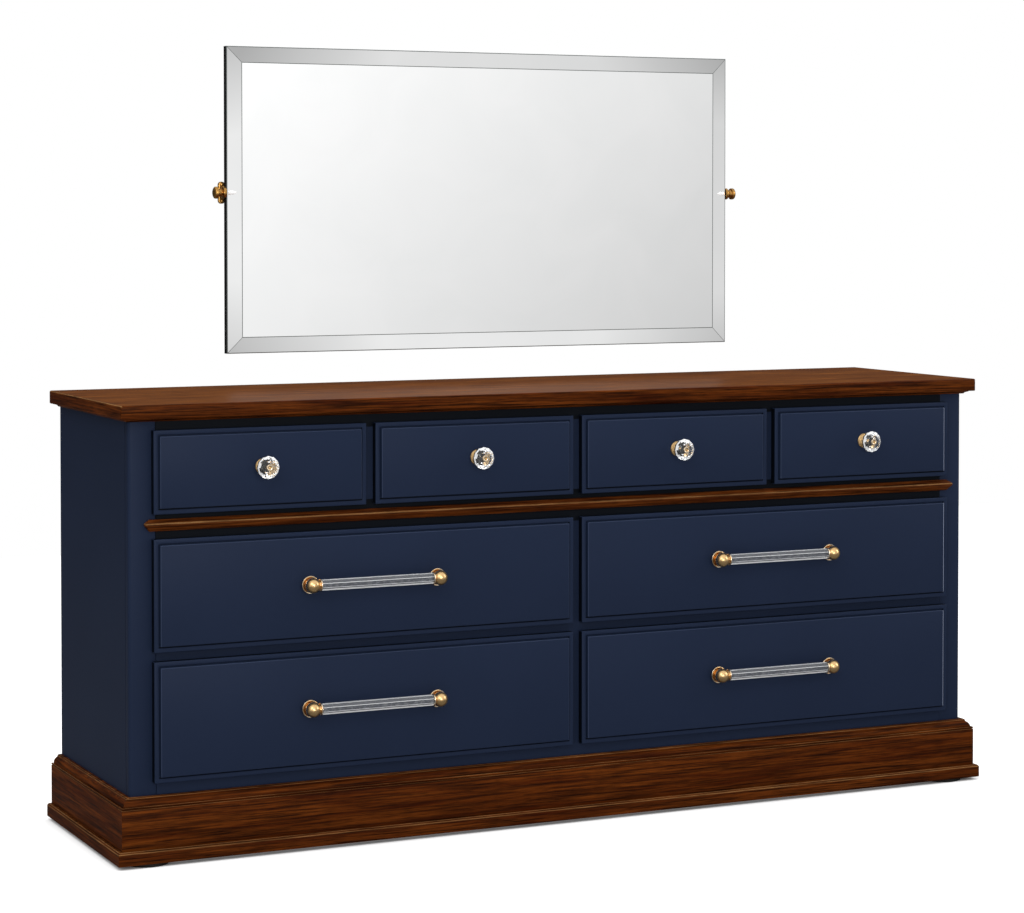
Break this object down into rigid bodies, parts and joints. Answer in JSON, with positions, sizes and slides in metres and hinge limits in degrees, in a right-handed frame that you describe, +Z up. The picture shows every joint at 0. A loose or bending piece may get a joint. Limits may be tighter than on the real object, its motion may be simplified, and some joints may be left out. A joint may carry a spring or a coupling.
{
  "type": "dresser with mirror",
  "caption": "Low wide dresser with overlay drawers, clear knobs and rod pulls, a wood top and plinth, and a bevelled tilting mirror that hangs on the wall above it.",
  "frame": {"origin": "on the floor, in the middle of the whole set's box", "axes": "+X along the front to the right, +Y from the front to the wall, +Z up"},
  "size_m": [1.777, 0.502, 1.446],
  "materials": {
    "walnut": "satin stained",
    "navy_paint": "satin paint",
    "plain_wood": "plain",
    "dark_pad": "matte",
    "brass": "satin",
    "clear_acrylic": "clear",
    "mirror": "polished",
    "black_board": "black"
  },
  "bodies": {
    "case": {"top_slab": "walnut", "slab_cove": "walnut", "side_panel_left": "navy_paint", "side_panel_right": "navy_paint", "back_panel": "plain_wood", "bottom_panel": "plain_wood", "waist_panel": "plain_wood", "centre_partition": "plain_wood", "upper_partitions": "plain_wood", "stile_left": "navy_paint", "stile_right": "navy_paint", "top_rail": "navy_paint", "waist_rail": "navy_paint", "bottom_rail": "navy_paint", "middle_rails": "navy_paint", "frame_muntins": "navy_paint", "waist_moulding": "walnut", "plinth_boards": "walnut", "plinth_cap": "walnut", "base_shoe": "walnut", "foot_pads": "dark_pad", "drawer_runners": "plain_wood", "wall_brackets": "brass", "bearing_screws": "brass"},
    "mirror": {"mirror_glass": "mirror", "mirror_backing": "black_board", "pivot_stems": "brass", "pivot_knobs": "brass"},
    "upper_drawer_1": {"upper_drawer_1_front": "navy_paint", "upper_drawer_1_box": "plain_wood", "upper_drawer_1_knob": "clear_acrylic", "upper_drawer_1_knob_mount": "brass"},
    "upper_drawer_2": {"upper_drawer_2_front": "navy_paint", "upper_drawer_2_box": "plain_wood", "upper_drawer_2_knob": "clear_acrylic", "upper_drawer_2_knob_mount": "brass"},
    "upper_drawer_3": {"upper_drawer_3_front": "navy_paint", "upper_drawer_3_box": "plain_wood", "upper_drawer_3_knob": "clear_acrylic", "upper_drawer_3_knob_mount": "brass"},
    "upper_drawer_4": {"upper_drawer_4_front": "navy_paint", "upper_drawer_4_box": "plain_wood", "upper_drawer_4_knob": "clear_acrylic", "upper_drawer_4_knob_mount": "brass"},
    "middle_drawer_left": {"middle_drawer_left_front": "navy_paint", "middle_drawer_left_box": "plain_wood", "middle_drawer_left_pull_rod": "clear_acrylic", "middle_drawer_left_pull_posts": "brass"},
    "middle_drawer_right": {"middle_drawer_right_front": "navy_paint", "middle_drawer_right_box": "plain_wood", "middle_drawer_right_pull_rod": "clear_acrylic", "middle_drawer_right_pull_posts": "brass"},
    "lower_drawer_left": {"lower_drawer_left_front": "navy_paint", "lower_drawer_left_box": "plain_wood", "lower_drawer_left_pull_rod": "clear_acrylic", "lower_drawer_left_pull_posts": "brass"},
    "lower_drawer_right": {"lower_drawer_right_front": "navy_paint", "lower_drawer_right_box": "plain_wood", "lower_drawer_right_pull_rod": "clear_acrylic", "lower_drawer_right_pull_posts": "brass"}
  },
  "joints": [
    {"name": "upper_drawer_1_slide", "type": "slide", "parent": "case", "child": "upper_drawer_1", "axis": [0, -1, 0], "range_m": [0, 0.28]},
    {"name": "upper_drawer_2_slide", "type": "slide", "parent": "case", "child": "upper_drawer_2", "axis": [0, -1, 0], "range_m": [0, 0.28]},
    {"name": "upper_drawer_3_slide", "type": "slide", "parent": "case", "child": "upper_drawer_3", "axis": [0, -1, 0], "range_m": [0, 0.28]},
    {"name": "upper_drawer_4_slide", "type": "slide", "parent": "case", "child": "upper_drawer_4", "axis": [0, -1, 0], "range_m": [0, 0.28]},
    {"name": "middle_drawer_left_slide", "type": "slide", "parent": "case", "child": "middle_drawer_left", "axis": [0, -1, 0], "range_m": [0, 0.28]},
    {"name": "middle_drawer_right_slide", "type": "slide", "parent": "case", "child": "middle_drawer_right", "axis": [0, -1, 0], "range_m": [0, 0.28]},
    {"name": "lower_drawer_left_slide", "type": "slide", "parent": "case", "child": "lower_drawer_left", "axis": [0, -1, 0], "range_m": [0, 0.28]},
    {"name": "lower_drawer_right_slide", "type": "slide", "parent": "case", "child": "lower_drawer_right", "axis": [0, -1, 0], "range_m": [0, 0.28]},
    {"name": "mirror_tilt", "type": "hinge", "parent": "case", "child": "mirror", "pos_m": [0, 0.201, 1.168], "axis": [1, 0, 0], "range_deg": [-7.5, 7.5]}
  ]
}
